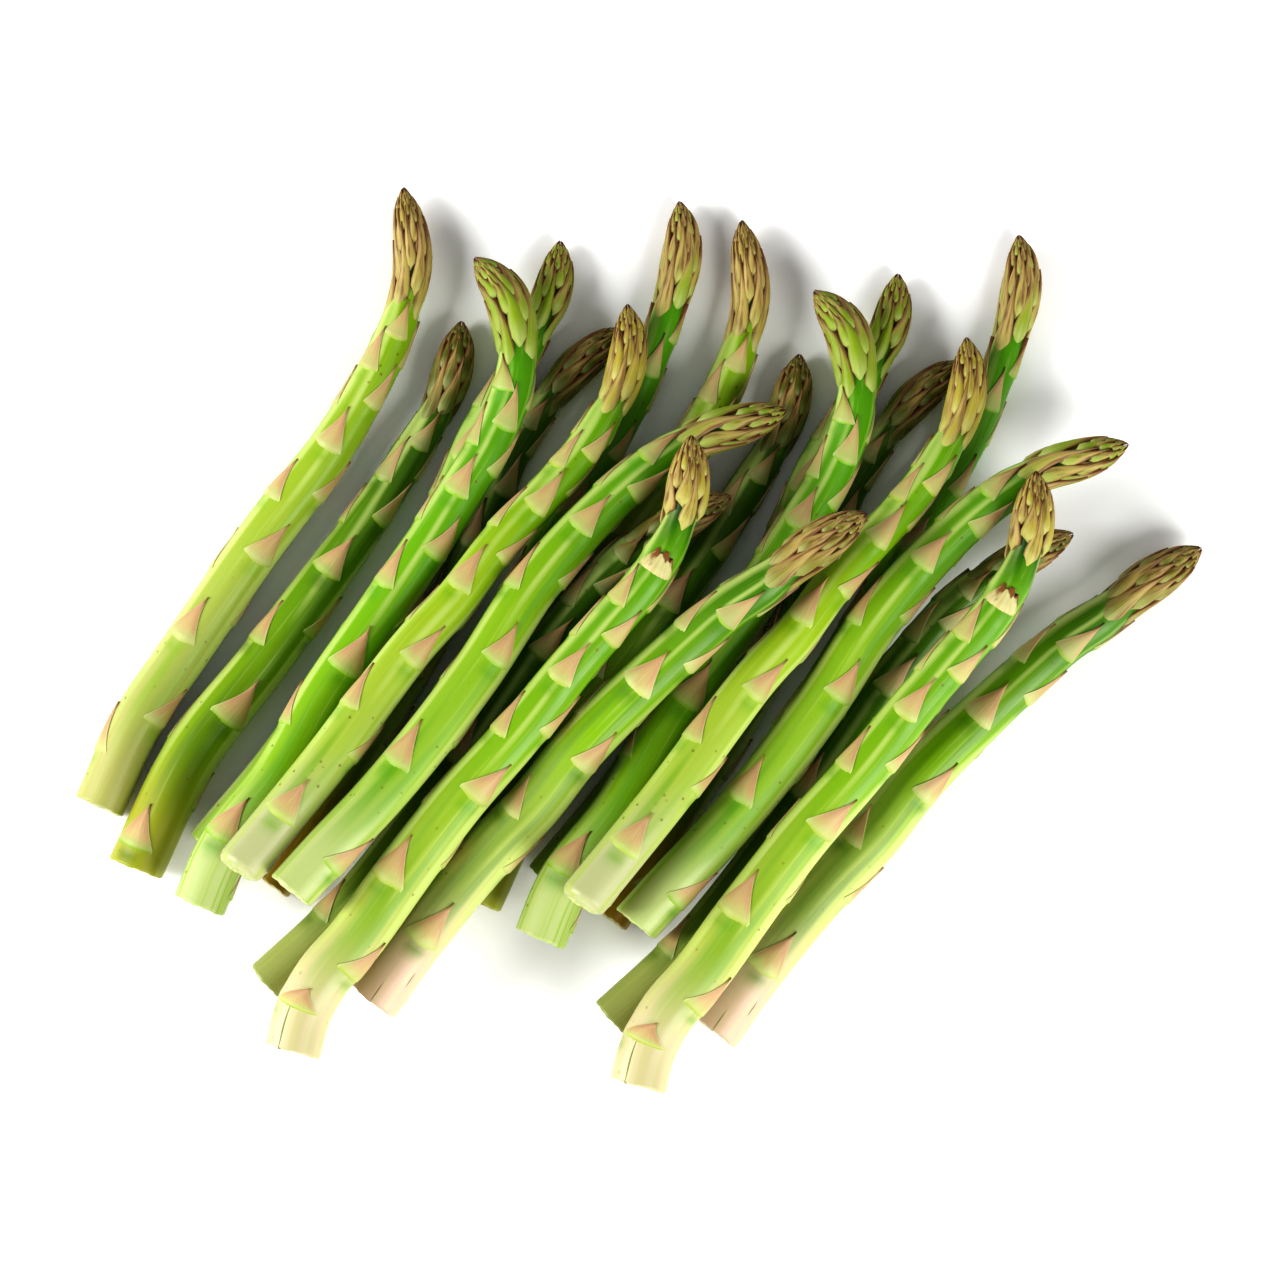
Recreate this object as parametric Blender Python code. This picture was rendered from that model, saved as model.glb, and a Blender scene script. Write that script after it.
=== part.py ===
"""A bundle of loose asparagus spears lying in a pile on a flat surface. Metres, +Z up.

Each spear grew as one piece, so it is one closed solid: a tapered stem with a flat cut butt, pointed
scales that climb it in a spiral, and a head where the same scales crowd over a slimmer core.
The skin is a net over eight lines that run up the stem. The scales sit on these lines three apart,
which with a small twist is the golden angle, and each stands out of the net as a ridged blade.
The spears are laid one after another as stiff rods, each resting on the floor or on those below it.
"""

import math
from collections import namedtuple

import bmesh
import bpy
import numpy as np
from mathutils import Vector

MM = 0.001

LINES = 8                      # net lines round a stem
LINE_STEP = 3                  # lines from one scale to the next
GOLDEN_ANGLE = 137.5           # degrees from one scale to the next
BLADE_LENGTH = 13.5            # mm, a scale on the stem
BLADE_SHARE = 0.94             # of the room below the next scale, where that is shorter
BLADE_LIFT = 0.6               # mm that a scale stands out of the stem
HEAD_BLADE_LIFT = 1.3          # mm that a head scale's tip stands out of the core
HEAD_CORE_INSET = 0.9          # mm that the core lies inside the head's outline
LAST_BUD = 2.4                 # mm from the top, where the scales end
HOOPS = (0.035, 0.09, 0.16, 0.25, 0.35, 0.46)  # shares of the length with a plain ring of corners
SAMPLE_STEP = 1.5              # mm between the balls that stand for a spear when it is laid down
GAP = 0.3                      # mm between a spear and the one that it rests on
NUDGES = (0, -0.5, 0.5, -1, 1, -1.5, 1.5)  # mm sideways that a spear may roll to lie lower
NUDGE_COST = 1.5               # mm lower that a roll of 1 mm has to bring
FLAT_DEPTH = 1.0               # mm of a floor spear's outline, blades included, that is flattened
SECOND_LOT = (94.4, -9.2)      # mm from a spear of the first lot to its like in the second

Spear = namedtuple("Spear", "radii head_length first ratio angle hand colour route")

FRESH = (0.20, 0.30, 0.04)
OLIVE = (0.16, 0.19, 0.04)
LIME = (0.33, 0.36, 0.06)
PALE = (0.42, 0.40, 0.22)
DARK = (0.07, 0.08, 0.02)

# Radii in mm at the butt, at half length, at the neck and at the head's widest; the head's length;
# the first scale's distance from the butt, the ratio of each scale's distance from the top to the
# last one's, the first scale's angle from straight up, the way round, and the stem's middle in plan.
SPEARS = {
    "spear_01": Spear((7.3, 7.3, 5.1, 5.3), 32, 15, 0.926, 278, 1, OLIVE,
                      ((-151, -46.5), (-139.5, -21.5), (-128, -4.5), (-106, 27.5), (-85, 55.5),
                       (-70.5, 81), (-63.5, 103), (-66, 126.5))),
    "spear_02": Spear((8.0, 7.0, 4.9, 5.7), 26, 6, 0.909, 333, 1, OLIVE,
                      ((-142, -63), (-127, -32), (-105.5, -4), (-89, 18.5), (-76, 36.5),
                       (-64.5, 54.5), (-57, 67), (-53, 79), (-51, 90))),
    "spear_03": Spear((5.6, 5.3, 4.4, 5.3), 26, 15, 0.921, 193, -1, FRESH,
                      ((-122.5, -56.5), (-102.5, -32.5), (-84, -5.5), (-66, 20), (-54, 42.5),
                       (-47, 59), (-39, 71.5), (-31, 85.5), (-25, 101), (-23.5, 112.5))),
    "spear_04": Spear((7.6, 7.0, 5.6, 6.3), 30, 5, 0.930, 111, -1, FRESH,
                      ((-122, -73.5), (-116.5, -60), (-99.5, -37), (-87, -15), (-73.5, 5),
                       (-49.5, 41.5), (-39, 60), (-34.5, 75), (-34.5, 85), (-37, 95), (-46, 106.5))),
    "spear_05": Spear((5.6, 5.5, 4.8, 5.3), 28, 12, 0.920, 40, 1, DARK,
                      ((-104, -68), (-81, -33), (-71, -17.5), (-56, 8.5), (-41.5, 41), (-36, 54.5),
                       (-30, 64), (-23, 73), (-16, 80), (-5.5, 88))),
    "spear_06": Spear((6.8, 6.1, 5.0, 5.4), 29, 5, 0.927, 132, -1, LIME,
                      ((-111, -63.5), (-99.5, -49.5), (-85.5, -32), (-71, -12.5), (-62.5, -1.5),
                       (-51.5, 10.5), (-39, 27), (-24.5, 42.5), (-11, 60), (-5, 72), (-3, 82.5),
                       (-3.5, 93.5))),
    "spear_07": Spear((5.9, 5.8, 4.9, 5.6), 30, 10, 0.922, 200, 1, OLIVE,
                      ((-84.5, -59), (-64.5, -34), (-50, -14), (-37, 6), (-24, 28), (-10.5, 50.5),
                       (0.5, 71.5), (8, 91), (11.5, 103.5), (12.5, 112), (11.5, 122.5))),
    "spear_08": Spear((7.0, 7.3, 5.7, 6.0), 30, 12, 0.906, 56, 1, FRESH,
                      ((-96, -69), (-85.5, -57.5), (-74, -45.5), (-56.5, -24.5), (-45, -9), (-30, 14),
                       (-17.5, 29), (-6, 40.5), (5, 49.5), (18, 57), (30, 60.5), (41, 64))),
    "spear_09": Spear((6.5, 6.2, 5.2, 5.4), 28, 9, 0.918, 80, -1, DARK,
                      ((-103.5, -95), (-80, -73), (-63, -52), (-48, -31.5), (-33.5, -11), (-21, 5.5),
                       (-8.5, 19.5), (4, 29), (15.5, 35.5), (25.5, 40))),
    "spear_10": Spear((8.1, 7.2, 5.5, 6.2), 28, 13, 0.922, 279, 1, LIME,
                      ((-95, -114), (-92.5, -104.5), (-87, -94), (-78, -83.5), (-66, -67), (-50, -46),
                       (-31.5, -25), (-17.5, -7.5), (-7.5, 4), (3.5, 17), (9, 26), (13, 36),
                       (14.5, 45.5), (15, 56))),
    "spear_11": Spear((7.9, 7.7, 6.2, 6.3), 30, 5, 0.908, 147, -1, PALE,
                      ((-74, -100), (-63, -84.5), (-50, -68), (-38.5, -55), (-30.5, -47), (-17, -30),
                       (1, -12), (14, 0), (24, 8.5), (34.5, 15.5), (44, 23), (53, 29), (62.5, 35))),
}
LAYING_ORDER = (1, 2, 3, 5, 7, 9, 4, 11, 6, 8, 10)  # in each lot; the second lot lies under the first


def smooth_route(points, step):
    """Evenly spaced points in mm on a smooth curve through the given ones."""
    points = np.array(points, float)
    reached = np.r_[0, np.cumsum(np.linalg.norm(np.diff(points, axis=0), axis=1))]
    slopes = np.gradient(points, reached, axis=0)
    fine = []
    for a, b, start, end, rise, fall in zip(reached, reached[1:], points, points[1:], slopes, slopes[1:]):
        for t in np.linspace(0, 1, 24, endpoint=False):
            fine.append((1 + 2 * t) * (1 - t) ** 2 * start + t * (1 - t) ** 2 * (b - a) * rise
                        + t * t * (3 - 2 * t) * end + t * t * (t - 1) * (b - a) * fall)
    fine = np.array(fine + [points[-1]])
    along = np.r_[0, np.cumsum(np.linalg.norm(np.diff(fine, axis=0), axis=1))]
    even = np.linspace(0, along[-1], max(2, round(along[-1] / step)) + 1)
    return even, np.column_stack([np.interp(even, along, fine[:, axis]) for axis in (0, 1)])


def head_share(spear, length, along):
    """0 below the head, rising to 1 at its top."""
    return np.clip(1 - (length - along) / spear.head_length, 0, 1)


def outline_radius(spear, length, along):
    """The spear's outer radius in mm: a slow taper to the neck, then an egg-shaped head."""
    butt, middle, neck, head = spear.radii
    neck_at = length - 1.12 * spear.head_length
    widest_at = length - 0.68 * spear.head_length
    stem = np.interp(along, (0, 0.25 * length, 0.5 * length, neck_at, widest_at),
                     (butt, 0.35 * butt + 0.65 * max(butt, middle), middle, neck, head))
    closing = np.clip((along - widest_at) / (length - widest_at), 0, 1)
    return stem * (1 - closing ** 2.1) ** 0.72


class Laid:
    """A spear in plan, with the straight line of heights that it comes to rest on."""

    def __init__(self, spear, lot, nudge, below):
        self.spear = spear
        self.along, self.plan = smooth_route(spear.route, SAMPLE_STEP)
        across = (self.plan[-1] - self.plan[0]) @ np.array(((0, -1), (1, 0)))
        self.plan += np.array(SECOND_LOT) * lot + across / np.linalg.norm(across) * nudge
        self.length = float(self.along[-1])
        self.radius = outline_radius(spear, self.length, self.along) + BLADE_LIFT
        self.middle_height, self.slope, self.height = self.rest_line(below)
        self.effort = self.middle_height + NUDGE_COST * abs(nudge)

    def heights(self):
        return self.height + self.slope * self.along

    def rest_line(self, below):
        """The height at its middle, slope and height at its butt of the lowest line that clears all below."""
        need = self.radius - FLAT_DEPTH
        for other in below:
            flat = np.linalg.norm(self.plan[:, None] - other.plan[None], axis=2)
            reach = self.radius[:, None] + other.radius[None] + GAP
            over = other.heights()[None] + np.sqrt(np.maximum(reach ** 2 - flat ** 2, 0))
            need = np.maximum(need, np.where(flat < reach, over, 0).max(axis=1))
        middle = np.average(self.along, weights=self.radius ** 2)
        left = self.along < middle
        best = None
        for a in np.flatnonzero(left):
            slopes = (need[~left] - need[a]) / (self.along[~left] - self.along[a])
            slope = slopes.max()
            at_middle = need[a] + slope * (middle - self.along[a])
            if (need <= need[a] + slope * (self.along - self.along[a]) + 1e-6).all():
                if best is None or at_middle < best[0]:
                    best = (at_middle, slope, need[a] - slope * self.along[a])
        return tuple(map(float, best))

    def plan_point(self, along):
        return [float(np.interp(along, self.along, self.plan[:, axis])) for axis in (0, 1)]

    def place(self, along, angle, radius):
        """The point in mm at a distance up the spear, an angle from straight up and a radius."""
        centre, ahead, behind = (self.plan_point(along + step) for step in (0, 2, -2))
        heading = Vector((ahead[0] - behind[0], ahead[1] - behind[1], 0)).normalized()
        forward = Vector((heading.x, heading.y, self.slope)).normalized()
        right = Vector((heading.y, -heading.x, 0))
        up = right.cross(forward)
        turn = math.radians(angle)
        middle = Vector((*centre, self.height + self.slope * along))
        return middle + radius * (math.cos(turn) * up + math.sin(turn) * right)


Knot = namedtuple("Knot", "along kind line")


def scale_places(spear, length):
    """How far up the spear each scale's foot is, the gaps closing in towards the top."""
    places = []
    left = length - spear.first
    while left > LAST_BUD:
        places.append(length - left)
        left *= spear.ratio
    return places


def net_knots(spear, length):
    """The net's corners on each line, from the butt up."""
    lines = [[Knot(0.0, "rim", line)] for line in range(LINES)]
    places = scale_places(spear, length)
    covered = [[] for _ in range(LINES)]
    for number, foot in enumerate(places):
        line = LINE_STEP * number % LINES
        room = (length - foot) * (1 - spear.ratio ** LINE_STEP) * BLADE_SHARE
        if length - foot > 1.1 * spear.head_length:
            tip = foot + min(BLADE_LENGTH, room)
            lines[line] += [Knot(foot, "foot", line), Knot(tip, "tip", line)]
            covered[line].append((foot, tip))
            for side in (line - 1, line + 1):
                lines[side % LINES].append(Knot(foot, "corner", side % LINES))
        else:
            lines[line].append(Knot(foot, "bud", line))
    for line, knots in enumerate(lines):
        for share in HOOPS:
            at = share * length
            near = [abs(knot.along - at) < 3 for knot in knots]
            if not any(near) and not any(foot < at < tip for foot, tip in covered[line]):
                knots.append(Knot(at, "hoop", line))
        knots.sort(key=lambda knot: knot.along)
        knots.append(Knot(length, "top", 0))
    return lines


def woven(left, right):
    """The triangles between two neighbouring lines: a stretch of one line and a corner of the other."""
    i = j = 0
    while i < len(left) - 1 or j < len(right) - 1:
        if left[i].kind == "top" or right[j].kind == "top":
            return
        blade_left = left[i].kind == "foot" and right[j].along == left[i].along
        blade_right = right[j].kind == "foot" and left[i].along == right[j].along
        if blade_left or (not blade_right and left[i + 1].along <= right[j + 1].along):
            yield left[i], left[i + 1], right[j]
            i += 1
        else:
            yield right[j], right[j + 1], left[i]
            j += 1


class Skin:
    """The net's corners as mesh points, each on the stem and, where a blade stands on it, above it."""

    def __init__(self, mesh, laid):
        self.mesh, self.laid, self.points = mesh, laid, {}

    def corner(self, knot, raised=False):
        key = (knot, raised)
        if key not in self.points:
            self.points[key] = self.mesh.verts.new(self.spot(knot, raised) * MM)
        return self.points[key]

    def spot(self, knot, raised):
        laid, spear = self.laid, self.laid.spear
        to_top = max(laid.length - knot.along, 0.5)
        turns = math.log(to_top / (laid.length - spear.first)) / math.log(spear.ratio)
        line_angle = 360 / LINES
        twist = GOLDEN_ANGLE - LINE_STEP * line_angle
        angle = spear.angle + spear.hand * (knot.line * line_angle + twist * turns)
        radius = float(outline_radius(spear, laid.length, knot.along))
        in_head = min(1.0, float(head_share(spear, laid.length, knot.along)) * 4)
        radius -= in_head * min(HEAD_CORE_INSET, 0.3 * radius)
        if raised:
            lift = BLADE_LIFT + in_head * (HEAD_BLADE_LIFT - BLADE_LIFT)
            radius += min(lift, 0.25 * to_top + 0.3)
        if knot.kind == "top":
            radius = 0.0
        return laid.place(knot.along, angle, radius)

    def blade(self, start, end, side):
        """One triangle of the net. A blade's half is raised, with a wall down to the net at each end."""
        grown = (start.kind, end.kind) in (("foot", "tip"), ("bud", "bud"))
        foot_up = grown and start.kind == "foot"
        self.mesh.faces.new((self.corner(start, foot_up), self.corner(end, grown), self.corner(side)))
        if foot_up:
            self.mesh.faces.new((self.corner(start), self.corner(start, True), self.corner(side)))
        if grown:
            self.mesh.faces.new((self.corner(end, True), self.corner(end), self.corner(side)))


def spear_mesh(name, laid):
    lines = net_knots(laid.spear, laid.length)
    mesh = bmesh.new()
    skin = Skin(mesh, laid)
    for line, knots in enumerate(lines):
        for start, end, side in woven(knots, lines[(line + 1) % LINES]):
            skin.blade(start, end, side)
    mesh.faces.new([skin.corner(knots[0]) for knots in lines])
    bmesh.ops.recalc_face_normals(mesh, faces=mesh.faces)
    flatten(mesh)
    finished = bpy.data.meshes.new(name)
    mesh.to_mesh(finished)
    mesh.free()
    return finished


def flatten(mesh):
    """Cuts off what lies below the floor, which leaves the small flats that the pile rests on."""
    everything = mesh.verts[:] + mesh.edges[:] + mesh.faces[:]
    cut = bmesh.ops.bisect_plane(mesh, geom=everything, dist=1e-7, plane_co=(0, 0, 0),
                                 plane_no=(0, 0, -1), clear_outer=True)
    edges = [edge for edge in cut["geom_cut"] if isinstance(edge, bmesh.types.BMEdge)]
    if edges:
        bmesh.ops.holes_fill(mesh, edges=edges)
        bmesh.ops.recalc_face_normals(mesh, faces=mesh.faces)


def spear_material(name, colour):
    material = bpy.data.materials.new(name)
    material.use_nodes = True
    shader = material.node_tree.nodes["Principled BSDF"]
    shader.inputs["Base Color"].default_value = (*colour, 1)
    shader.inputs["Roughness"].default_value = 0.45
    shader.inputs["Metallic"].default_value = 0.0
    return material


def lay_pile():
    """Every spear at rest, by name: the second lot first, because the first lies partly on it."""
    laid = {}
    for lot in (1, 0):
        for number in LAYING_ORDER:
            spear = SPEARS[f"spear_{number:02d}"]
            tries = [Laid(spear, lot, nudge, laid.values()) for nudge in NUDGES]
            laid[f"spear_{number + len(SPEARS) * lot:02d}"] = min(tries, key=lambda one: one.effort)
    return laid


def centre_pile(parts):
    """Moves the spears so that the origin is under the middle of their box."""
    points = np.array([vertex.co for part in parts for vertex in part.data.vertices])
    low, high = points.min(axis=0), points.max(axis=0)
    shift = Vector((*(-(low[:2] + high[:2]) / 2), 0))
    for part in parts:
        for vertex in part.data.vertices:
            vertex.co += shift


def main():
    for leftover in list(bpy.data.objects):
        bpy.data.objects.remove(leftover)
    bundle = bpy.data.collections.new("asparagus_bundle")
    bpy.context.scene.collection.children.link(bundle)
    parts = []
    for name, laid in sorted(lay_pile().items()):
        part = bpy.data.objects.new(name, spear_mesh(name, laid))
        part.data.materials.append(spear_material(name, laid.spear.colour))
        bundle.objects.link(part)
        parts.append(part)
    centre_pile(parts)


main()
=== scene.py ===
"""The looks of a pile of fresh asparagus spears: fine skins, scales and heads, floor, light and camera.

Each spear is modelled straight, along +X from its butt: a stem turned from a cylinder, thin scales
copied up it in a spiral, and long pointed buds over the head. It is then bent along the spear's own
line in the pile, which is worked out here from the same values and by the same rule as the solids.
"""

import math
import random
from collections import namedtuple

import bpy
import numpy as np
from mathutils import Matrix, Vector


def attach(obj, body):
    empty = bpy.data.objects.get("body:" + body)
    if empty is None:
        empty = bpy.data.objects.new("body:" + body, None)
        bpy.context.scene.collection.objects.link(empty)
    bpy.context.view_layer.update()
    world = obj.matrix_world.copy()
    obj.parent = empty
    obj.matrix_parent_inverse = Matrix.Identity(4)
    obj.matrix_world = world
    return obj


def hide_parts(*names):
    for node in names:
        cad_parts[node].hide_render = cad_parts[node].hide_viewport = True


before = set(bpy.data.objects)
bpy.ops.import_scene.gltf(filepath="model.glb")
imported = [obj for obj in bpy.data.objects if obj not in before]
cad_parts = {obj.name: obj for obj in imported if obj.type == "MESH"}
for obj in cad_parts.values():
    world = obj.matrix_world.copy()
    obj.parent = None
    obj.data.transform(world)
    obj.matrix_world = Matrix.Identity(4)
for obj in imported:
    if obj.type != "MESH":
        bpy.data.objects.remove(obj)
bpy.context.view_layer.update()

MM = 0.001

# The pile, as the solids have it, in millimetres
BLADE_LIFT = 0.6
BLADE_LENGTH = 13.5
BLADE_SHARE = 0.94
LAST_BUD = 2.4
GOLDEN_ANGLE = 137.5
BLADE_REACH_LINES = 3
SAMPLE_STEP = 1.5
GAP = 0.3
NUDGES = (0, -0.5, 0.5, -1, 1, -1.5, 1.5)
NUDGE_COST = 1.5
FLAT_DEPTH = 1.0
SECOND_LOT = (94.4, -9.2)
PHOTO_MIDDLE = (0.36, -0.70)   # where the photo's middle falls, from the origin under the pile's box
LAYING_ORDER = (1, 2, 3, 5, 7, 9, 4, 11, 6, 8, 10)

# The fine pieces
STEM_SIDES = 48
STEM_RINGS = 100               # between a stem's two ends
BUTT_LENGTH = 3.0              # mm from the butt in which a stem's rings are close together
BUTT_RINGS = 0.08              # of all the rings
SKIN_INSET = 0.12              # mm that the round skin lies inside the solid's corners
CORE_INSET = 1.5               # mm that a head's core lies inside its outline
AT_BUTT = 0.01                 # mm within which a point or face is on the cut face
BUTT_INSETS = (0.1, 0.25, 0.3)  # of the radius, from each ring of the cut face to the next
STEM_RIBS = 9
RIB_HEIGHT = 0.005             # of the radius
BLADE_ROWS, BLADE_COLUMNS = 12, 8
BLADE_HALF_ANGLE = 42.0        # degrees round the stem from a scale's middle to its corner
BLADE_STRETCH = 1.35           # of the solids' scales
BLADE_TUCK = 0.06              # of its reach that a scale starts below its foot
BUD_ROWS, BUD_COLUMNS = 9, 6
BUD_HALF_ANGLE = 34.0
BUD_REACH = 0.72               # of the way from a bud's foot to the spear's top
TOP_BUD_REACH = 0.97           # and of that way for the buds at the very top
TOP_BUDS = (2, 7)              # mm from the top, between which the reach goes from one to the other
BUD_GAPS = 0.64                # of the solids' gaps between one bud and the next
HEAD_START = 1.25              # of the head's length from the top, where the buds begin
NODE_SWELLING = 0.3            # mm that the stem swells under a scale's foot
SWELLING_REACH = 1.6           # mm along the stem
PATCH_DROP = 3.2               # mm from a scale's foot down to its darker patch
PATCH_REACH = 2.0              # mm along the stem
CUT_SLANT = 0.5                # mm that the cut's two sides lean to and fro
WALL_DEPTH = 1.7               # mm that a blade's walls go down into the stem
TORN = 2                       # a chance value that marks the torn scale
CRACK = 4                      # and one that marks a crack
TORN_FOOT = 40.0               # mm from the top to the torn scale's foot

# The photo's frame
PHOTO_WIDTH = 358.4            # mm across the floor
CAMERA_HEIGHT = 2400.0         # mm
SENSOR = 36.0

# A spear's radii at its butt, middle, neck and head, how high its first scale stands, the ratio of one
# scale's distance from the top to the last one's, the spiral's first angle and its hand, the spear's line
# in plan, and the rounding of its butt's edge, in mm and degrees.
Spear = namedtuple("Spear", "radii head_length first ratio angle hand slot looks route rounding",
                   defaults=(0.35,))
Looks = namedtuple("Looks", "butt low mid high bud age streaks", defaults=(0.15,))

# Skin colours as light reflects them: the butt, the lower, middle and upper stem, and the head's buds.
# The age is the share of tan and plum on the buds, and the streaks are the butt's green ones.
WASHED = Looks((0.39, 0.38, 0.13), (0.36, 0.40, 0.11), (0.29, 0.40, 0.03), (0.19, 0.33, 0.003),
               (0.30, 0.24, 0.03), 0.9, 0.4)
OLIVE = Looks((0.33, 0.33, 0.03), (0.19, 0.31, 0.002), (0.12, 0.25, 0.001), (0.05, 0.13, 0.001),
              (0.09, 0.10, 0.003), 0.5)
FRESH = Looks((0.41, 0.47, 0.19), (0.21, 0.38, 0.005), (0.15, 0.35, 0.001), (0.08, 0.26, 0.001),
              (0.21, 0.29, 0.01), 0.4, 0.65)
LIME = Looks((0.41, 0.42, 0.22), (0.32, 0.42, 0.06), (0.28, 0.41, 0.01), (0.13, 0.30, 0.001),
             (0.36, 0.30, 0.04), 0.5, 0.5)
CREAM = Looks((0.60, 0.43, 0.32), (0.42, 0.46, 0.14), (0.20, 0.38, 0.003), (0.06, 0.18, 0.001),
              (0.17, 0.16, 0.008), 0.6)
# Darker greens for the spears that lie low in the pile, partly their own darker colour and partly painted
# shade.
DARK_AND_PAINTED_SHADE = Looks((0.30, 0.33, 0.10), (0.13, 0.21, 0.006), (0.08, 0.18, 0.001), (0.05, 0.13, 0.001),
              (0.09, 0.10, 0.004), 0.5)

SPEARS = {
    "spear_01": Spear((7.3, 7.3, 5.1, 5.3), 32, 15, 0.926, 278, 1, "olive_green", WASHED,
                      ((-151, -46.5), (-139.5, -21.5), (-128, -4.5), (-106, 27.5), (-85, 55.5),
                       (-70.5, 81), (-63.5, 103), (-66, 126.5))),
    "spear_02": Spear((8.0, 7.0, 4.9, 5.7), 26, 6, 0.909, 333, 1, "olive_green", OLIVE,
                      ((-142, -63), (-127, -32), (-105.5, -4), (-89, 18.5), (-76, 36.5),
                       (-64.5, 54.5), (-57, 67), (-53, 79), (-51, 90))),
    "spear_03": Spear((5.6, 5.3, 4.4, 5.3), 26, 15, 0.921, 193, -1, "fresh_green", FRESH._replace(age=0.5),
                      ((-122.5, -56.5), (-102.5, -32.5), (-84, -5.5), (-66, 20), (-54, 42.5),
                       (-47, 59), (-39, 71.5), (-31, 85.5), (-25, 101), (-23.5, 112.5))),
    "spear_04": Spear((7.6, 7.0, 5.6, 6.3), 30, 5, 0.930, 111, -1, "fresh_green", FRESH,
                      ((-122, -73.5), (-116.5, -60), (-99.5, -37), (-87, -15), (-73.5, 5),
                       (-49.5, 41.5), (-39, 60), (-34.5, 75), (-34.5, 85), (-37, 95), (-46, 106.5))),
    "spear_05": Spear((5.6, 5.5, 4.8, 5.3), 28, 12, 0.920, 40, 1, "dark_green",
                      DARK_AND_PAINTED_SHADE._replace(butt=(0.36, 0.20, 0.015)),
                      ((-104, -68), (-81, -33), (-71, -17.5), (-56, 8.5), (-41.5, 41), (-36, 54.5),
                       (-30, 64), (-23, 73), (-16, 80), (-5.5, 88))),
    "spear_06": Spear((6.8, 6.1, 5.0, 5.4), 29, 5, 0.927, 132, -1, "yellow_green", LIME,
                      ((-111, -63.5), (-99.5, -49.5), (-85.5, -32), (-71, -12.5), (-62.5, -1.5),
                       (-51.5, 10.5), (-39, 27), (-24.5, 42.5), (-11, 60), (-5, 72), (-3, 82.5),
                       (-3.5, 93.5)), 2.6),
    "spear_07": Spear((5.9, 5.8, 4.9, 5.6), 30, 10, 0.922, 200, 1, "olive_green", FRESH._replace(age=0.9),
                      ((-84.5, -59), (-64.5, -34), (-50, -14), (-37, 6), (-24, 28), (-10.5, 50.5),
                       (0.5, 71.5), (8, 91), (11.5, 103.5), (12.5, 112), (11.5, 122.5))),
    "spear_08": Spear((7.0, 7.3, 5.7, 6.0), 30, 12, 0.906, 56, 1, "fresh_green",
                      FRESH._replace(low=(0.25, 0.40, 0.04), mid=(0.22, 0.38, 0.01), age=0.7),
                      ((-96, -69), (-85.5, -57.5), (-74, -45.5), (-56.5, -24.5), (-45, -9), (-30, 14),
                       (-17.5, 29), (-6, 40.5), (5, 49.5), (18, 57), (30, 60.5), (41, 64))),
    "spear_09": Spear((6.5, 6.2, 5.2, 5.4), 28, 9, 0.918, 80, -1, "dark_green", DARK_AND_PAINTED_SHADE,
                      ((-103.5, -95), (-80, -73), (-63, -52), (-48, -31.5), (-33.5, -11), (-21, 5.5),
                       (-8.5, 19.5), (4, 29), (15.5, 35.5), (25.5, 40))),
    "spear_10": Spear((8.1, 7.2, 5.5, 6.2), 28, 13, 0.922, 279, 1, "yellow_green",
                      LIME._replace(butt=(0.52, 0.45, 0.27), low=(0.33, 0.40, 0.06), mid=(0.19, 0.36, 0.004),
                                    high=(0.10, 0.27, 0.001), age=0.7, streaks=0.15),
                      ((-95, -114), (-92.5, -104.5), (-87, -94), (-78, -83.5), (-66, -67), (-50, -46),
                       (-31.5, -25), (-17.5, -7.5), (-7.5, 4), (3.5, 17), (9, 26), (13, 36),
                       (14.5, 45.5), (15, 56))),
    "spear_11": Spear((7.9, 7.7, 6.2, 6.3), 30, 5, 0.908, 147, -1, "pale_green", CREAM,
                      ((-74, -100), (-63, -84.5), (-50, -68), (-38.5, -55), (-30.5, -47), (-17, -30),
                       (1, -12), (14, 0), (24, 8.5), (34.5, 15.5), (44, 23), (53, 29), (62.5, 35))),
}


def smooth_route(points, step):
    """Evenly spaced points in mm on a smooth curve through the given ones."""
    points = np.array(points, float)
    reached = np.r_[0, np.cumsum(np.linalg.norm(np.diff(points, axis=0), axis=1))]
    slopes = np.gradient(points, reached, axis=0)
    fine = []
    for a, b, start, end, rise, fall in zip(reached, reached[1:], points, points[1:], slopes, slopes[1:]):
        for t in np.linspace(0, 1, 24, endpoint=False):
            fine.append((1 + 2 * t) * (1 - t) ** 2 * start + t * (1 - t) ** 2 * (b - a) * rise
                        + t * t * (3 - 2 * t) * end + t * t * (t - 1) * (b - a) * fall)
    fine = np.array(fine + [points[-1]])
    along = np.r_[0, np.cumsum(np.linalg.norm(np.diff(fine, axis=0), axis=1))]
    even = np.linspace(0, along[-1], max(2, round(along[-1] / step)) + 1)
    return even, np.column_stack([np.interp(even, along, fine[:, axis]) for axis in (0, 1)])


def outline_radius(spear, length, along):
    """The spear's outer radius in mm: a slow taper to the neck, then an egg-shaped head."""
    butt, middle, neck, head = spear.radii
    neck_at = length - 1.12 * spear.head_length
    widest_at = length - 0.68 * spear.head_length
    stem = np.interp(along, (0, 0.25 * length, 0.5 * length, neck_at, widest_at),
                     (butt, 0.35 * butt + 0.65 * max(butt, middle), middle, neck, head))
    closing = np.clip((along - widest_at) / (length - widest_at), 0, 1)
    return stem * (1 - closing ** 2.1) ** 0.72


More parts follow.
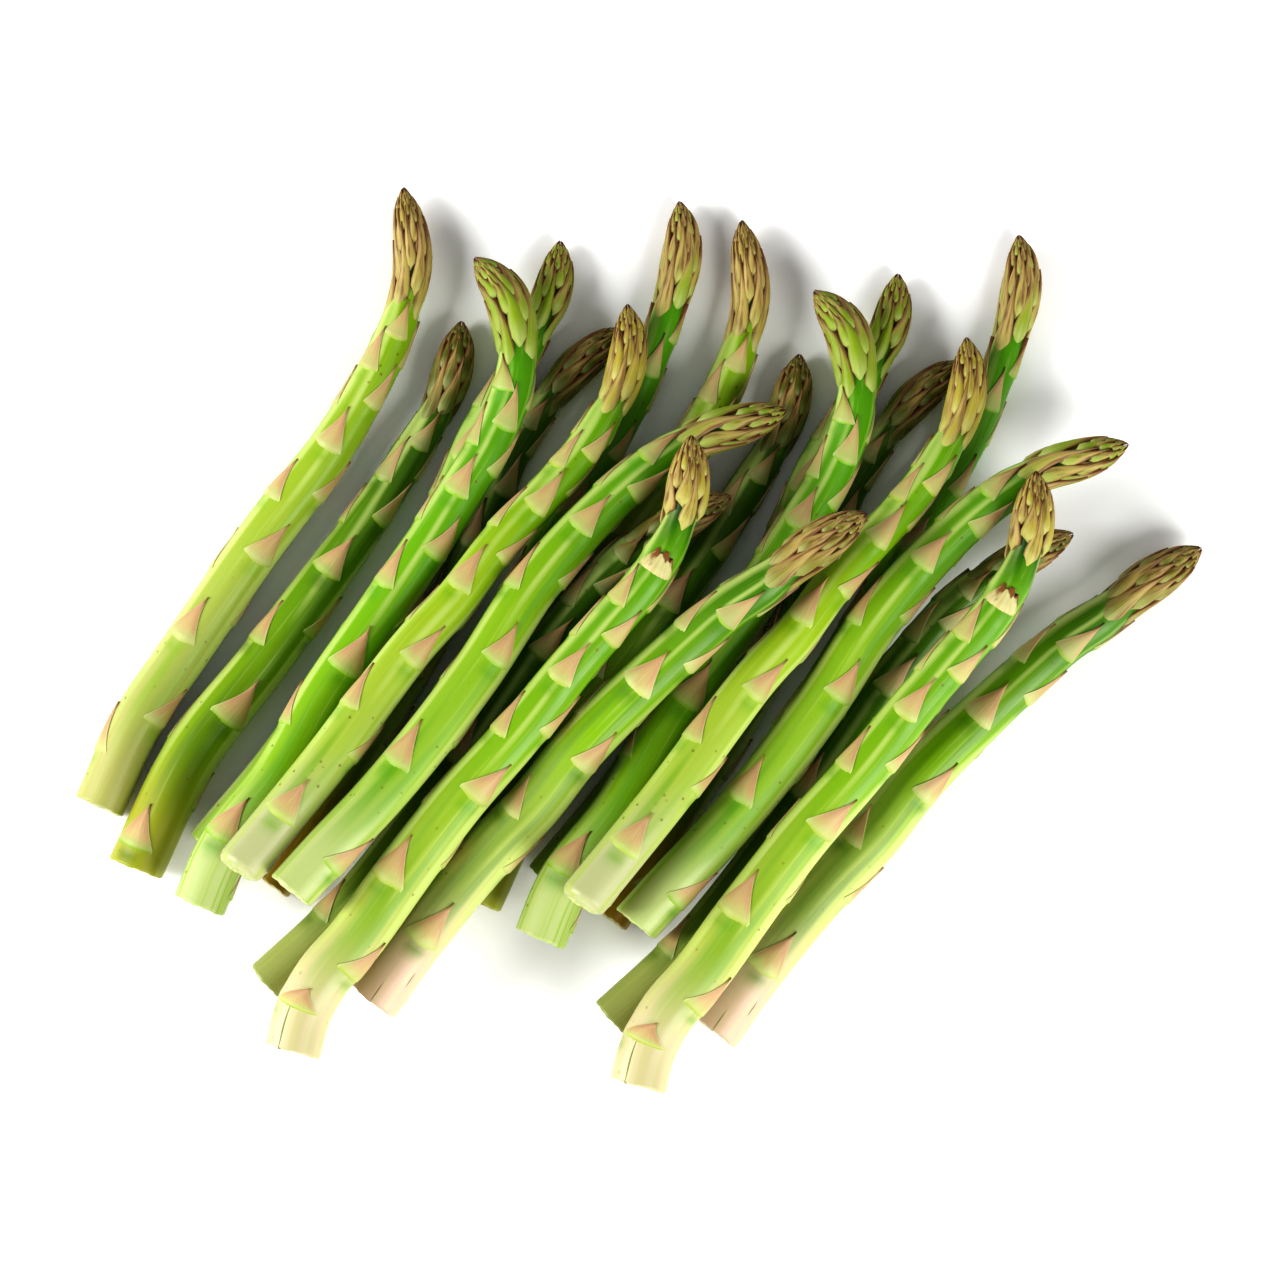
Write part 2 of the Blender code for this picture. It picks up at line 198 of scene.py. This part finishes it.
class Laid:
    """A spear in plan, with the straight line of heights that it comes to rest on."""

    def __init__(self, spear, lot, nudge, below):
        self.spear = spear
        self.along, self.plan = smooth_route(spear.route, SAMPLE_STEP)
        across = (self.plan[-1] - self.plan[0]) @ np.array(((0, -1), (1, 0)))
        self.plan += np.array(SECOND_LOT) * lot + across / np.linalg.norm(across) * nudge
        self.length = float(self.along[-1])
        self.radius = outline_radius(spear, self.length, self.along) + BLADE_LIFT
        self.middle_height, self.slope, self.height = self.rest_line(below)
        self.effort = self.middle_height + NUDGE_COST * abs(nudge)

    def heights(self):
        return self.height + self.slope * self.along

    def rest_line(self, below):
        """The height at its middle, slope and height at its butt of the lowest line that clears all below."""
        need = self.radius - FLAT_DEPTH
        for other in below:
            flat = np.linalg.norm(self.plan[:, None] - other.plan[None], axis=2)
            reach = self.radius[:, None] + other.radius[None] + GAP
            over = other.heights()[None] + np.sqrt(np.maximum(reach ** 2 - flat ** 2, 0))
            need = np.maximum(need, np.where(flat < reach, over, 0).max(axis=1))
        middle = np.average(self.along, weights=self.radius ** 2)
        left = self.along < middle
        best = None
        for a in np.flatnonzero(left):
            slopes = (need[~left] - need[a]) / (self.along[~left] - self.along[a])
            slope = slopes.max()
            at_middle = need[a] + slope * (middle - self.along[a])
            if (need <= need[a] + slope * (self.along - self.along[a]) + 1e-6).all():
                if best is None or at_middle < best[0]:
                    best = (at_middle, slope, need[a] - slope * self.along[a])
        return tuple(map(float, best))

    def bend(self, straight):
        """Points in mm of the straight spear, moved to their places in the pile."""
        def plan_at(along):
            inside = np.clip(along, 0, self.length)
            return np.column_stack([np.interp(inside, self.along, self.plan[:, axis]) for axis in (0, 1)])

        along = straight[:, 0]
        heading = plan_at(along + 2) - plan_at(along - 2)
        heading /= np.linalg.norm(heading, axis=1)[:, None]
        middle = plan_at(along) + heading * (along - np.clip(along, 0, self.length))[:, None]
        tilt = math.hypot(1, self.slope)
        right = np.column_stack([heading[:, 1], -heading[:, 0], np.zeros(len(along))])
        up = np.column_stack([-heading * self.slope, np.ones(len(along))]) / tilt
        centre = np.column_stack([middle, self.height + self.slope * along])
        return centre + straight[:, 1:2] * right + straight[:, 2:3] * up


def lay_pile():
    """Every spear at rest, by name: the second lot first, because the first lies partly on it."""
    laid = {}
    for lot in (1, 0):
        for number in LAYING_ORDER:
            spear = SPEARS[f"spear_{number:02d}"]
            tries = [Laid(spear, lot, nudge, laid.values()) for nudge in NUDGES]
            laid[f"spear_{number + len(SPEARS) * lot:02d}"] = min(tries, key=lambda one: one.effort)
    return laid


def start_fresh():
    if bpy.context.object and bpy.context.object.mode != "OBJECT":
        bpy.ops.object.mode_set(mode="OBJECT")
    bpy.ops.object.select_all(action="DESELECT")


def points_of(piece):
    flat = np.empty(len(piece.data.vertices) * 3)
    piece.data.vertices.foreach_get("co", flat)
    return flat.reshape(-1, 3)


def move_points(piece, points):
    piece.data.vertices.foreach_set("co", points.ravel())
    piece.data.update()


def keep(piece, name, values):
    """Stores a value or a vector for each point of the mesh, for its material to read."""
    values = np.asarray(values, float)
    kind = "FLOAT" if values.ndim == 1 else "FLOAT_VECTOR"
    layer = piece.data.attributes.get(name) or piece.data.attributes.new(name, kind, "POINT")
    layer.data.foreach_set("value" if kind == "FLOAT" else "vector", values.ravel())


def select_only(kind, parts, wanted):
    """Selects just the wanted edges or faces of the active mesh, and stays in edit mode."""
    bpy.ops.object.mode_set(mode="EDIT")
    bpy.ops.mesh.select_mode(type=kind)
    bpy.ops.mesh.select_all(action="DESELECT")
    bpy.ops.object.mode_set(mode="OBJECT")
    for part, chosen in zip(parts, wanted):
        part.select = bool(chosen)
    bpy.ops.object.mode_set(mode="EDIT")


def bare_tube(length):
    """A tube of radius 1 along +X, ringed all along and closer at the butt, with rings on the butt's face."""
    start_fresh()
    bpy.ops.mesh.primitive_cylinder_add(vertices=STEM_SIDES, radius=1, depth=length,
                                        location=(length / 2, 0, 0), rotation=(0, math.pi / 2, 0))
    tube = bpy.context.object
    bpy.ops.object.transform_apply(location=True, rotation=True, scale=True)
    ends = points_of(tube)[:, 0]
    edges = tube.data.edges
    select_only("EDGE", edges, [np.ptp(ends[list(edge.vertices)]) > length / 2 for edge in edges])
    bpy.ops.mesh.subdivide(number_cuts=STEM_RINGS)
    bpy.ops.object.mode_set(mode="OBJECT")
    faces = tube.data.polygons
    select_only("FACE", faces, [face.center.x < AT_BUTT for face in faces])
    for thickness in BUTT_INSETS:
        bpy.ops.mesh.inset(thickness=thickness)
    bpy.ops.object.mode_set(mode="OBJECT")
    points = points_of(tube)
    points[:, 0] = np.interp(points[:, 0] / length, (0, BUTT_RINGS, 1), (0, BUTT_LENGTH, length))
    move_points(tube, points)
    return tube


def turned_stem(spear, length, scales):
    """The bare stem, with ribs and a swelling and a patch for each scale, and the head's slim core, in mm."""
    stem = bare_tube(length)
    points = points_of(stem)
    along = points[:, 0].copy()
    turn = np.arctan2(points[:, 1], points[:, 2])
    inward = 1 - np.hypot(points[:, 1], points[:, 2])
    outline = outline_radius(spear, length, along)
    into_head = np.clip((along - (length - 1.15 * spear.head_length)) / (0.3 * spear.head_length), 0, 1)
    ribs = 1 + RIB_HEIGHT * (np.cos(STEM_RIBS * turn + along * 0.01) - 1) * (1 - into_head)
    radius = (outline - SKIN_INSET) * ribs - into_head * np.minimum(CORE_INSET, 0.45 * outline)
    under = np.zeros(len(along))
    for foot, angle in scales:
        apart = (turn - math.radians(angle) + math.pi) % (2 * math.pi) - math.pi
        sector = np.clip(1 - (apart / math.radians(1.2 * BLADE_HALF_ANGLE)) ** 2, 0, 1)
        radius += NODE_SWELLING * sector * np.exp(-((along - foot) / SWELLING_REACH) ** 2) * (1 - into_head)
        sector = np.clip(1 - (apart / math.radians(0.75 * BLADE_HALF_ANGLE)) ** 2, 0, 1)
        under = np.maximum(under, sector * np.exp(-((along - foot + PATCH_DROP) / PATCH_REACH) ** 2))
    rim = np.clip(along / spear.rounding, 0, 1)
    radius -= spear.rounding * (1 - np.sqrt(1 - (1 - rim) ** 2))
    points[:, 1] = radius * (1 - inward) * np.sin(turn)
    points[:, 2] = radius * (1 - inward) * np.cos(turn)
    ragged = (CUT_SLANT * np.sin(turn + spear.angle) * (1 - inward)
              + 0.12 * np.sin(5 * turn) + 0.1 * np.sin(13 * turn + 1))
    at_butt = along < AT_BUTT
    points[:, 0] += np.clip(1 - along / BUTT_LENGTH, 0, 1) * ragged + np.where(at_butt, 0.6 * inward, 0)
    points[:, 0] = np.minimum(points[:, 0], length - 0.8 * LAST_BUD)
    move_points(stem, points)
    keep(stem, "under", under)
    keep(stem, "cut", np.where(at_butt, np.clip(inward / BUTT_INSETS[0], 0, 1), 0))
    keep(stem, "own", np.column_stack([np.full(len(points), -1.0), np.zeros(len(points)), turn]))
    return stem


def unit_blade(half_width, lift, foot_curve=0.0, rows=BLADE_ROWS, columns=BLADE_COLUMNS):
    """One scale or bud, 1 long and 1 to each side, with its lift in mm, and walls down into the stem."""
    start_fresh()
    bpy.ops.mesh.primitive_grid_add(x_subdivisions=rows, y_subdivisions=columns, size=2)
    blade = bpy.context.object
    bpy.ops.object.mode_set(mode="EDIT")
    bpy.ops.mesh.select_all(action="SELECT")
    bpy.ops.mesh.extrude_region_move(TRANSFORM_OT_translate={"value": (0, 0, -1)})
    bpy.ops.mesh.delete(type="ONLY_FACE")
    bpy.ops.object.mode_set(mode="OBJECT")
    points = points_of(blade)
    share = (points[:, 0] + 1) / 2
    side = points[:, 1].copy()
    top = points[:, 2] > -0.5
    points[:, 0] = share - foot_curve * (1 - side ** 2) * (1 - share) ** 2
    points[:, 1] = side * half_width(share)
    points[:, 2] = np.where(top, lift(share, side), -WALL_DEPTH)
    move_points(blade, points)
    keep(blade, "under", np.zeros(len(points)))
    keep(blade, "cut", np.zeros(len(points)))
    keep(blade, "own", np.column_stack([share, side, np.zeros(len(points))]))
    start_fresh()
    return blade


def stem_blade():
    """A thin three-cornered scale with hollow sides, which grows out of the stem at its foot."""
    def half_width(share):
        up = np.clip((share - 0.06) / 0.94, 0, 1)
        return np.clip(1 - up, 0.012, 1) ** 1.38 * (0.95 + 0.05 * np.clip(share / 0.06, 0, 1))

    def lift(share, side):
        grown = np.clip(share / 0.07, 0, 1) ** 1.5
        body = 0.2 + 0.38 * (1 - side ** 2) * (1 - 0.3 * share) + 0.12 * share
        return -0.1 + grown * (body + 0.1)

    return unit_blade(half_width, lift, foot_curve=0.06)


def head_bud():
    """A bell-shaped bud with a low ridge, its foot tucked in and its long tip lying over the next bud."""
    def half_width(share):
        foot = np.clip(share / 0.13, 0.05, 1) ** 0.5
        up = np.clip((share - 0.13) / 0.87, 0, 1)
        return foot * np.clip(1 - up, 0.008, 1) ** 1.25

    def lift(share, side):
        rounding = np.clip(share / 0.13, 0.02, 1) ** 0.6
        level = -1.2 + 1.4 * share ** 0.6
        ridge = 0.55 * (1 - side ** 2) + 0.4 * (1 - np.abs(side))
        return level + rounding * ridge * (1.0 - 0.5 * share)

    return unit_blade(half_width, lift, 0.05, BUD_ROWS, BUD_COLUMNS)


def crack_line():
    """A thin dark line that lies along the skin."""
    return unit_blade(lambda share: np.sin(np.clip(share, 0.04, 0.96) * math.pi),
                      lambda share, side: 0.03 + 0 * share)


def spiral(start, end, ratio, angle, hand):
    """How far each foot is from the top and its angle, the gaps closing in from the start to the end."""
    feet = []
    while start > end:
        feet.append((start, angle))
        start *= ratio
        angle += hand * GOLDEN_ANGLE
    return feet


def wrapped_blade(blank, spear, length, foot, reach, angle, half_angle, chance):
    """A copy of a blank blade laid round the stem, standing at its foot and angle."""
    blade = blank.copy()
    blade.data = blank.data.copy()
    bpy.context.collection.objects.link(blade)
    points = points_of(blade)
    along = np.minimum(foot + points[:, 0] * reach, length + 0.2)
    lean = (chance % 1 - 0.4) * 0.55 * points[:, 0] ** 2
    turn = np.radians(angle + half_angle * (points[:, 1] + lean))
    room = np.clip((length - along) / 6, 0.25, 1)
    surface = outline_radius(spear, length, along) - SKIN_INSET
    radius = np.maximum(surface + points[:, 2] * room, 0.05)
    points = np.column_stack([along, radius * np.sin(turn), radius * np.cos(turn)])
    move_points(blade, points)
    own = np.empty(len(points) * 3)
    blade.data.attributes["own"].data.foreach_get("vector", own)
    keep(blade, "own", own.reshape(-1, 3) + np.array((0, 0, chance)))
    return blade


def torn_scale(spear, length, blank):
    """The short torn scale under one head."""
    foot = length - TORN_FOOT
    torn = wrapped_blade(blank, spear, length, foot, 14, 4, 58, TORN)
    points = points_of(torn)
    ragged = 6.0 + 0.9 * np.sin(points[:, 1] * 2.1) + 0.5 * np.sin(points[:, 1] * 7)
    over = np.clip((points[:, 0] - foot) / ragged - 1, 0, 1)
    points[:, 0] = np.minimum(points[:, 0], foot + ragged)
    points[:, 1:] *= (1 - 0.1 * over)[:, None]
    move_points(torn, points)
    return torn


def marks_of(name, spear, length, blanks):
    """The torn scale, the wide low scale and the cracks that some spears have."""
    scale, _, crack = blanks
    if name == "spear_10":
        return [torn_scale(spear, length, scale),
                wrapped_blade(crack, spear, length, 0.1, spear.first - 0.6, -29, 1.3, CRACK),
                wrapped_blade(scale, spear, length, spear.first - 1, 6.5, -24, 56, 0.95)]
    if name == "spear_11":
        return [wrapped_blade(crack, spear, length, 0.1, 7, -4, 0.9, CRACK),
                wrapped_blade(crack, spear, length, 9, 5, 42, 1.1, CRACK)]
    return []


def rows_of(spear, length):
    """Where the scales stand, from the butt, and where the buds stand, from the top, with their angles."""
    head = HEAD_START * spear.head_length
    scales = [(length - to_top, angle) for to_top, angle in
              spiral(length - spear.first, head, spear.ratio, spear.angle, spear.hand)]
    buds = spiral(head, LAST_BUD, spear.ratio ** BUD_GAPS, spear.angle, spear.hand)
    return scales, buds


def grown_blades(name, spear, length, scales, buds, blanks):
    """Copies of the scale and the bud at all those places, each a little different."""
    scale, bud, _ = blanks
    draw = random.Random(name)
    blades = []
    for foot, angle in scales:
        chance = draw.random()
        room = (length - foot) * (1 - spear.ratio ** BLADE_REACH_LINES) * BLADE_SHARE
        reach = min(BLADE_LENGTH, BLADE_STRETCH * room) * draw.uniform(0.9, 1.05)
        half_angle = BLADE_HALF_ANGLE * draw.uniform(0.85, 1.05) * (1.2 - 0.25 * foot / length)
        blades.append(wrapped_blade(scale, spear, length, foot - BLADE_TUCK * reach,
                                    (1 + BLADE_TUCK) * reach, angle, half_angle, chance))
    for to_top, angle in buds:
        share = np.interp(to_top, TOP_BUDS, (TOP_BUD_REACH, BUD_REACH))
        reach = to_top * share * draw.uniform(0.85, 1.1)
        angle += draw.uniform(-6, 6)
        half_angle = BUD_HALF_ANGLE * draw.uniform(0.85, 1.15)
        blades.append(wrapped_blade(bud, spear, length, length - to_top, reach, angle, half_angle,
                                    draw.random()))
    return blades


def straight_spear(name, spear, length, blanks):
    """The whole spear as one mesh, still straight, with the values that its skin reads."""
    scales, buds = rows_of(spear, length)
    stem = turned_stem(spear, length, scales)
    if name == "spear_10":
        scales = [(foot, angle) for foot, angle in scales[1:]
                  if not (length - foot < TORN_FOOT + 4 and math.cos(math.radians(angle)) > 0)]
        buds = [(to_top, angle) for to_top, angle in buds if to_top < spear.head_length]
    blades = marks_of(name, spear, length, blanks) + grown_blades(name, spear, length, scales, buds, blanks)
    start_fresh()
    for blade in blades:
        blade.select_set(True)
    stem.select_set(True)
    bpy.context.view_layer.objects.active = stem
    bpy.ops.object.join()
    points = points_of(stem)
    keep(stem, "straight", points * MM)
    keep(stem, "reach", np.clip(points[:, 0] / length, 0, 1))
    return stem


def fine_spear(name, laid, straight):
    """A bent copy of the straight spear in its place in the pile, which stands for its solid."""
    piece = straight.copy()
    piece.data = straight.data.copy()
    piece.name = piece.data.name = "fine_" + name
    bpy.context.collection.objects.link(piece)
    bent = laid.bend(points_of(piece)) + np.array((*PHOTO_MIDDLE, 0))
    bent[:, 2] = np.maximum(bent[:, 2], 0.02)
    move_points(piece, bent * MM)
    start_fresh()
    piece.select_set(True)
    bpy.context.view_layer.objects.active = piece
    bpy.ops.object.shade_smooth_by_angle(angle=math.radians(50))
    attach(piece, "root")
    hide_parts(name)
    return piece


class Wires:
    """Short calls for adding and joining a material's nodes."""

    def __init__(self, name):
        self.material = bpy.data.materials.new(name)
        self.material.use_nodes = True
        self.tree = self.material.node_tree
        self.shader = self.tree.nodes["Principled BSDF"]

    def node(self, kind, **settings):
        node = self.tree.nodes.new("ShaderNode" + kind)
        for key, value in settings.items():
            setattr(node, key, value)
        return node

    def feed(self, value, socket):
        if isinstance(value, bpy.types.NodeSocket):
            self.tree.links.new(value, socket)
        else:
            socket.default_value = value

    def kept(self, name, vector=False):
        return self.node("Attribute", attribute_name=name).outputs["Vector" if vector else "Fac"]

    def sum(self, operation, a, b=0.0, c=0.0):
        node = self.node("Math", operation=operation)
        for socket, value in zip(node.inputs, (a, b, c)):
            self.feed(value, socket)
        return node.outputs[0]

    def plus(self, a, b):
        return self.sum("ADD", a, b)

    def times(self, a, b):
        return self.sum("MULTIPLY", a, b)

    def span(self, value, low, high, to_low=0.0, to_high=1.0):
        node = self.node("MapRange", interpolation_type="SMOOTHSTEP")
        for socket, given in zip(node.inputs, (value, low, high, to_low, to_high)):
            self.feed(given, socket)
        return node.outputs[0]

    def noise(self, vector, stretch, detail=2.0, roughness=0.5):
        mapping = self.node("Mapping")
        self.feed(vector, mapping.inputs["Vector"])
        mapping.inputs["Scale"].default_value = stretch
        noise = self.node("TexNoise")
        noise.inputs["Scale"].default_value = 1.0
        noise.inputs["Detail"].default_value = detail
        noise.inputs["Roughness"].default_value = roughness
        self.feed(mapping.outputs[0], noise.inputs["Vector"])
        return noise.outputs["Fac"]

    def ramp(self, value, *stops):
        node = self.node("ValToRGB")
        while len(node.color_ramp.elements) < len(stops):
            node.color_ramp.elements.new(0.5)
        for element, (at, colour) in zip(node.color_ramp.elements, stops):
            element.position = at
            element.color = (*colour, 1)
        self.feed(value, node.inputs[0])
        return node.outputs[0]

    def mix(self, share, first, second, way="MIX"):
        node = self.node("Mix", data_type="RGBA", blend_type=way)
        for socket, value in zip((node.inputs[0], node.inputs[6], node.inputs[7]), (share, first, second)):
            self.feed((*value, 1) if isinstance(value, tuple) else value, socket)
        return node.outputs[2]


# Pale mint of the stem's long streaks and fine flecks: partly the skin's own paler streaks, partly painted
# sheen.
MINT_AND_PAINTED_SHEEN = (0.50, 0.58, 0.20)
# Deep green of the head's core under the buds: partly its own colour, partly painted shade.
DEEP_GREEN_AND_PAINTED_SHADE = (0.02, 0.11, 0.001)
TAN = (0.46, 0.35, 0.15)
PINK = (0.44, 0.26, 0.14)
BUD_TAN = (0.42, 0.31, 0.11)
PLUM = (0.16, 0.062, 0.028)
TIP_BROWN = (0.18, 0.07, 0.015)
WHITISH = (0.50, 0.53, 0.26)
# Near black: painted shade on the head's core where it shows between the buds.
PAINTED_SHADE_BETWEEN_BUDS = (0.012, 0.03, 0.001)
SPECK = (0.14, 0.09, 0.01)
CUT_PALE = (0.50, 0.54, 0.24)
CRACK_GREEN = (0.17, 0.20, 0.02)


class Skin(Wires):
    """One spear's skin: what its mesh says of each point, and the patterns that its parts share."""

    def __init__(self, name, looks):
        super().__init__(name)
        self.looks = looks
        self.straight = self.kept("straight", vector=True)
        self.reach = self.kept("reach")
        own = self.kept("own", vector=True)
        parts = self.node("SeparateXYZ")
        self.feed(own, parts.inputs[0])
        self.share, self.chance = parts.outputs[0], parts.outputs[2]
        self.side = self.sum("ABSOLUTE", parts.outputs[1])
        self.broad = self.noise(self.straight, (6, 190, 190), 1.0)
        self.fine = self.noise(self.straight, (22, 900, 900), 2.0, 0.6)
        self.cloud = self.noise(self.straight, (60, 110, 110), 3.0)
        self.veins = self.noise(own, (1.5, 9, 40), 3.0, 0.6)
        self.patch = self.noise(own, (2.5, 2.0, 40), 2.0)
        self.rise = self.plus(self.share, self.times(self.patch, 0.3))
        ageing = self.plus(self.share, self.times(self.patch, 0.8))
        self.ageing = self.plus(ageing, self.times(self.side, 0.25))
        tinted = self.mix(self.span(self.plus(self.rise, self.times(self.side, 0.3)), 0.45, 1.0), TAN, PINK)
        self.tinted = self.mix(self.span(self.veins, 0.5, 0.75, 0, 0.35), tinted, WHITISH)

    def cells(self, scale):
        """How far each point is from the middle of the cell that it lies in."""
        cells = self.node("TexVoronoi")
        cells.inputs["Scale"].default_value = scale
        self.feed(self.straight, cells.inputs["Vector"])
        return cells.outputs["Distance"]

    def stem(self):
        """A gradient up the stem that ends in painted shade between the head's buds, with long pale streaks
        that are partly painted sheen, dark streaks, specks, and the pale flesh of the cut.
        """
        looks, reach = self.looks, self.reach
        # Into the head the core turns to painted shade, deep green then near black, where it shows between
        # the buds.
        stem = self.ramp(reach, (0.0, looks.butt), (0.08, looks.butt), (0.22, looks.low), (0.5, looks.mid),
                         (0.8, looks.high), (0.84, looks.high), (0.88, DEEP_GREEN_AND_PAINTED_SHADE), (0.92, PAINTED_SHADE_BETWEEN_BUDS))
        # Long pale streaks, partly the skin's own and partly painted sheen.
        pale = self.times(self.span(self.broad, 0.53, 0.66, 0, 0.75), self.span(reach, 0.05, 0.3, 0.2, 1.0))
        stem = self.mix(pale, stem, MINT_AND_PAINTED_SHEEN)
        dark = self.times(self.span(self.broad, 0.48, 0.34, 0, 0.6), self.span(reach, 0.04, 0.22, 0.1, 1.0))
        stem = self.mix(dark, stem, looks.high)
        # Fine pale flecks of the same mint, partly painted sheen.
        stem = self.mix(self.span(self.fine, 0.55, 0.8, 0, 0.25), stem, MINT_AND_PAINTED_SHEEN)
        green = self.span(self.noise(self.straight, (8, 420, 420), 1.0), 0.5, 0.62)
        stem = self.mix(self.times(green, self.span(reach, 0.12, 0.3, looks.streaks, 0)), stem, looks.low)
        stem = self.mix(self.times(self.kept("under"), 0.6), stem, looks.high)
        speck = self.times(self.span(self.cells(260), 0.16, 0.06), self.span(self.cloud, 0.52, 0.62))
        stem = self.mix(self.times(speck, 0.7), stem, SPECK)
        flesh = self.mix(self.span(self.cells(620), 0.2, 0.42, 0.35, 1), looks.low, CUT_PALE)
        return self.mix(self.kept("cut"), stem, flesh)

    def low_scale(self):
        """Tan and pink over a pale collar, with whitish edges and a brown tip."""
        collar = self.mix(0.45, self.looks.low, WHITISH)
        scale = self.mix(self.span(self.rise, 0.18, 0.5), collar, self.tinted)
        scale = self.mix(self.span(self.share, 0.02, 0.12, 1, 0), scale, self.looks.low)
        scale = self.mix(self.span(self.side, 0.9, 0.98, 0, 0.5), scale, WHITISH)
        return self.mix(self.span(self.share, 0.78, 1.0, 0, 0.75), scale, TIP_BROWN)

    def neck_scale(self):
        """Greener, with a plum tip, just under the head."""
        body = self.mix(0.5, self.looks.bud, WHITISH)
        scale = self.mix(self.span(self.share, 0.02, 0.12), self.looks.mid, body)
        scale = self.mix(self.span(self.ageing, 0.6, 1.1, 0, 0.85), scale, self.tinted)
        scale = self.mix(self.span(self.side, 0.88, 0.98, 0, 0.5), scale, WHITISH)
        return self.mix(self.span(self.share, 0.7, 1.0, 0, 0.8), scale, PLUM)

    def bud(self):
        """Green buds, whitened at the foot by a painted highlight, that turn tan and plum with age, from
        their tips and edges in.
        """
        age = self.looks.age
        tannish = self.mix(self.span(self.patch, 0.42, 0.72), BUD_TAN, PLUM)
        # Painted highlight: whitish over each bud's rounded foot, fading up the bud.
        young_with_painted_highlight = self.mix(self.span(self.share, 0.05, 0.4, 0.35, 0.0), self.looks.bud, WHITISH)
        aged = self.plus(self.ageing, self.times(self.chance, 0.5))
        bud = self.mix(self.span(aged, 1.35 - 0.8 * age, 1.9 - 0.7 * age, 0, 0.95), young_with_painted_highlight, tannish)
        bud = self.mix(self.span(self.veins, 0.55, 0.75, 0, 0.35), bud, WHITISH)
        bud = self.mix(self.span(self.veins, 0.45, 0.25, 0, 0.6), bud, self.looks.high)
        outer = self.plus(self.share, self.times(self.side, 0.35))
        bud = self.mix(self.span(outer, 0.6, 1.15, 0, 0.9), bud, PLUM)
        return self.mix(self.span(self.side, 0.8, 0.98, 0, 0.7), bud, PLUM)

    def torn(self):
        """The torn scale's tan and whitish fibres, brown at the tear."""
        torn = self.mix(self.span(self.veins, 0.35, 0.6, 0.15, 0.8), WHITISH, TAN)
        upper = self.plus(self.patch, self.times(self.share, 0.9))
        return self.mix(self.span(upper, 0.7, 0.85), torn, TIP_BROWN)

    def blade(self):
        """Each scale and bud by its place up the stem, and the torn scale and cracks by their marks."""
        blade = self.mix(self.span(self.reach, 0.62, 0.76, 0, 0.9), self.low_scale(), self.neck_scale())
        blade = self.mix(self.span(self.reach, 0.80, 0.85), blade, self.bud())
        blade = self.mix(self.span(self.chance, TORN - 0.5, TORN - 0.4), blade, self.torn())
        return self.mix(self.span(self.chance, CRACK - 0.5, CRACK - 0.4), blade, CRACK_GREEN)

    def satin(self, is_blade):
        """A satin finish, with a fine grain along the stem and veins in the scales."""
        rough = self.plus(self.span(self.cloud, 0.2, 0.8, 0.32, 0.44), self.times(is_blade, 0.12))
        self.feed(rough, self.shader.inputs["Roughness"])
        self.shader.inputs["Specular IOR Level"].default_value = 0.32
        self.shader.inputs["Specular Tint"].default_value = (1.0, 1.0, 0.88, 1)
        self.shader.inputs["Sheen Weight"].default_value = 0.04
        self.shader.inputs["Sheen Roughness"].default_value = 0.45
        self.shader.inputs["Sheen Tint"].default_value = (0.95, 1.0, 0.75, 1)
        bump = self.node("Bump")
        bump.inputs["Strength"].default_value = 0.5
        bump.inputs["Distance"].default_value = 0.0001
        height = self.plus(self.fine, self.times(self.times(self.veins, is_blade), 1.5))
        self.feed(self.plus(height, self.times(self.broad, 1.5)), bump.inputs["Height"])
        self.feed(bump.outputs[0], self.shader.inputs["Normal"])


def skin_material(name, looks):
    """The stem's skin, and over it the skin of the scales and buds, which have a share of 0 or more."""
    skin = Skin(name, looks)
    is_blade = skin.span(skin.share, -0.5, -0.1)
    skin.feed(skin.mix(is_blade, skin.stem(), skin.blade()), skin.shader.inputs["Base Color"])
    skin.satin(is_blade)
    return skin.material


def floor_and_light():
    start_fresh()
    bpy.ops.mesh.primitive_plane_add(size=6, location=(0, 0, 0))
    floor = bpy.context.object
    floor.name = "floor"
    wires = Wires("pale_floor")
    wires.shader.inputs["Base Color"].default_value = (0.93, 0.93, 0.93, 1)
    wires.shader.inputs["Roughness"].default_value = 0.9
    floor.data.materials.append(wires.material)
    lamps = (("left_softbox", (-1.7, 0.05, 0.85), (0.7, 1.5), 41),
             ("right_softbox", (1.15, -1.15, 1.0), (0.7, 1.7), 37))
    for name, place, size, power in lamps:
        bpy.ops.object.light_add(type="AREA", location=place)
        lamp = bpy.context.object
        lamp.name = name
        lamp.data.shape = "RECTANGLE"
        lamp.data.size, lamp.data.size_y = size
        lamp.data.energy = power
        lamp.rotation_euler = (-Vector(place)).to_track_quat("-Z", "Y").to_euler()
    world = bpy.data.worlds.new("soft_room")
    world.use_nodes = True
    world.node_tree.nodes["Background"].inputs["Color"].default_value = (1, 1, 1, 1)
    world.node_tree.nodes["Background"].inputs["Strength"].default_value = 0.30
    bpy.context.scene.world = world
    bpy.context.scene.view_settings.view_transform = "Standard"
    bpy.context.scene.view_settings.look = "High Contrast"


def camera():
    """Straight above the photo's middle, far off, so that the pile's height shifts nothing."""
    bpy.ops.object.camera_add(location=(PHOTO_MIDDLE[0] * MM, PHOTO_MIDDLE[1] * MM, CAMERA_HEIGHT * MM))
    eye = bpy.context.object
    eye.data.sensor_width = SENSOR
    eye.data.lens = SENSOR * CAMERA_HEIGHT / PHOTO_WIDTH
    eye.data.clip_end = 10
    bpy.context.scene.camera = eye


def main():
    camera()
    floor_and_light()
    laid = lay_pile()
    blanks = (stem_blade(), head_bud(), crack_line())
    for number, (name, spear) in enumerate(SPEARS.items(), start=1):
        first, second = name, f"spear_{number + len(SPEARS):02d}"
        straight = straight_spear(name, spear, laid[first].length, blanks)
        straight.data.materials.clear()
        straight.data.materials.append(skin_material("skin_" + name, spear.looks))
        for copy in (first, second):
            fine_spear(copy, laid[copy], straight)
        bpy.data.objects.remove(straight)
    for blank in blanks:
        bpy.data.objects.remove(blank)


main()
